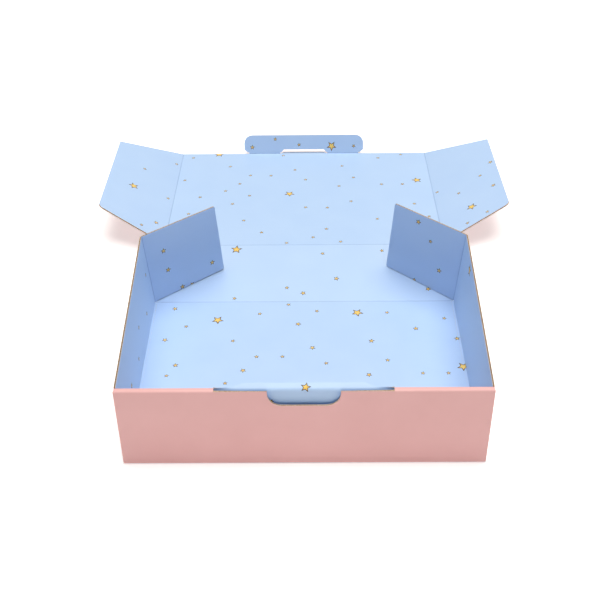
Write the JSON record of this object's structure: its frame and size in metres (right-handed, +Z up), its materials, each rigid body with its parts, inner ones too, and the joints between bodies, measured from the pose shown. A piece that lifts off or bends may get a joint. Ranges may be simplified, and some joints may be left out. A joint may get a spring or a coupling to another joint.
{
  "type": "corrugated mailer box",
  "caption": "Shallow open mailer box folded from one sheet of corrugated board, with rolled front wall, lock slot, thumb cut, low rear wall, and hinged lid with ears and lock tab.",
  "frame": {"origin": "centre of the underside of the base panel", "axes": "+Z up from the table, +Y from the front wall to the back where the lid lies, +X to the right seen from the front"},
  "size_m": [0.45, 0.5451, 0.0878],
  "materials": {
    "printed_board": "matt printed corrugated board, light blue inside and pink outside"
  },
  "bodies": {
    "tray": {"tray": "printed_board"},
    "lid": {"lid": "printed_board"},
    "lid_ear_left": {"lid_ear_left": "printed_board"},
    "lid_ear_right": {"lid_ear_right": "printed_board"},
    "lock_tab": {"lock_tab": "printed_board"},
    "rear_flap_left": {"rear_flap_left": "printed_board"},
    "rear_flap_right": {"rear_flap_right": "printed_board"}
  },
  "joints": [
    {"name": "lid_fold", "type": "hinge", "parent": "tray", "child": "lid", "pos_m": [0, 0.19691, 0.01519], "axis": [1, 0, 0], "range_deg": [0, 93.38]},
    {"name": "left_ear_fold", "type": "hinge", "parent": "lid", "child": "lid_ear_left", "pos_m": [-0.15225, 0.19691, 0.01519], "axis": [0, 0.9983, -0.0589], "range_deg": [-25, 65]},
    {"name": "right_ear_fold", "type": "hinge", "parent": "lid", "child": "lid_ear_right", "pos_m": [0.15225, 0.19691, 0.01519], "axis": [0, -0.9983, 0.0589], "range_deg": [-25, 65]},
    {"name": "lock_tab_fold", "type": "hinge", "parent": "lid", "child": "lock_tab", "pos_m": [0, 0.42152, 0.00193], "axis": [1, 0, 0], "range_deg": [-66.62, 20]},
    {"name": "left_rear_flap_fold", "type": "hinge", "parent": "tray", "child": "rear_flap_left", "pos_m": [-0.1534, 0.11315, 0], "axis": [0.0745, 0, -0.9972], "range_deg": [0, 34]},
    {"name": "right_rear_flap_fold", "type": "hinge", "parent": "tray", "child": "rear_flap_right", "pos_m": [0.1534, 0.11315, 0], "axis": [0.0745, 0, 0.9972], "range_deg": [0, 37]}
  ]
}
